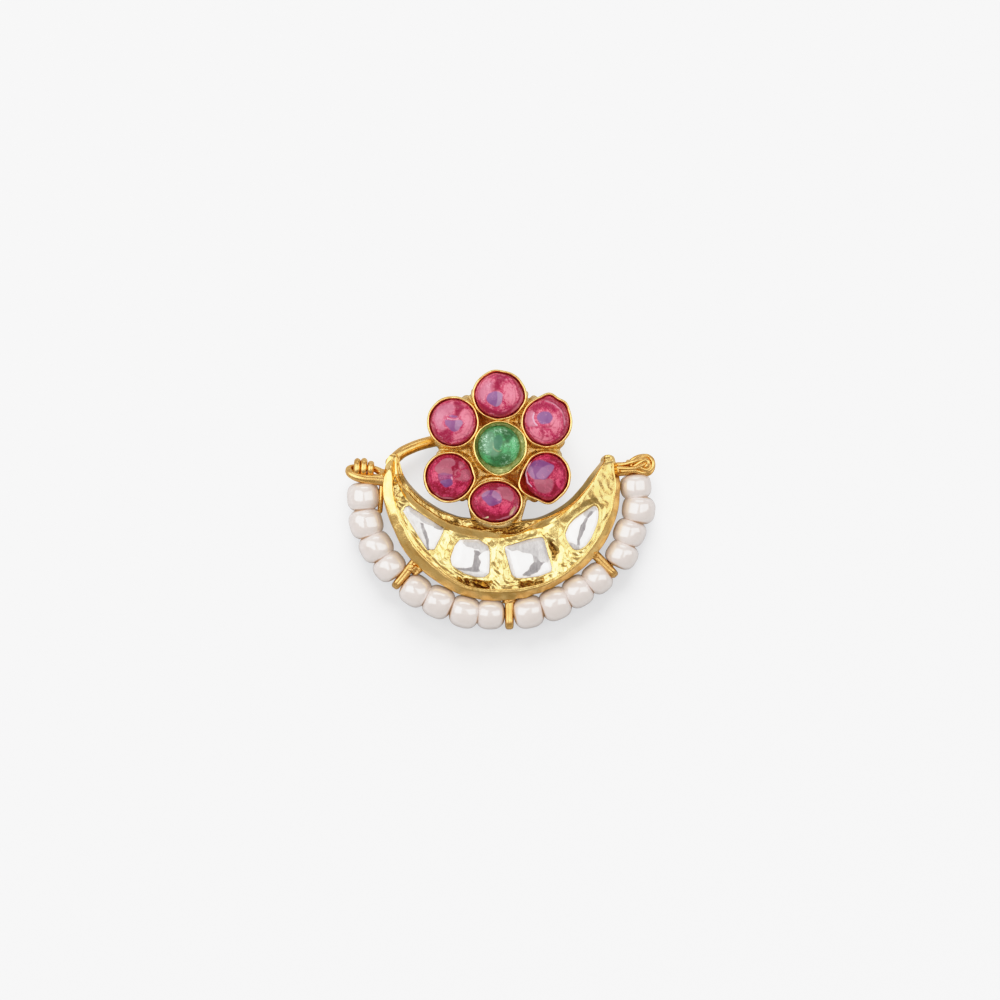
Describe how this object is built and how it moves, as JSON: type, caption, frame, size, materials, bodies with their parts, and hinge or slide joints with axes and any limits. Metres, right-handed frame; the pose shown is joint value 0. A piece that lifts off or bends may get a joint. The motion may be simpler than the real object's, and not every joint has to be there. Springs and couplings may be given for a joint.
{
  "type": "nose pin",
  "caption": "Gold crescent nose pin set with flat white stones, carrying a flower of red cabochons round a green one, with seed pearls on a wire along its lower edge and a curved nose wire.",
  "frame": {"origin": "below the middle of the pin's box, on the plane of the crescent's flat back", "axes": "+X to the right of the face, horn to horn; +Y up the face, from the pearls to the flower; +Z out of the face"},
  "size_m": [0.024, 0.02, 0.0044],
  "materials": {
    "gold": "polished 22 carat gold, hand burnished",
    "foil": "burnished pure gold foil, crinkled",
    "polki": "flat uncut stone, foil backed",
    "ruby": "polished cabochon, foil backed",
    "emerald": "polished cabochon, foil backed",
    "pearl": "nacre, soft lustre"
  },
  "bodies": {
    "root": {"gold_frame": "gold", "wire_wraps_left": "gold", "wire_wraps_right": "gold", "kundan_bed": "foil", "polki_1": "polki", "polki_2": "polki", "polki_3": "polki", "polki_4": "polki", "ruby_top": "ruby", "ruby_upper_right": "ruby", "ruby_lower_right": "ruby", "ruby_bottom": "ruby", "ruby_lower_left": "ruby", "ruby_upper_left": "ruby", "emerald": "emerald", "pearls_1": "pearl", "pearls_2": "pearl", "pearls_3": "pearl", "pearls_4": "pearl"}
  },
  "joints": []
}
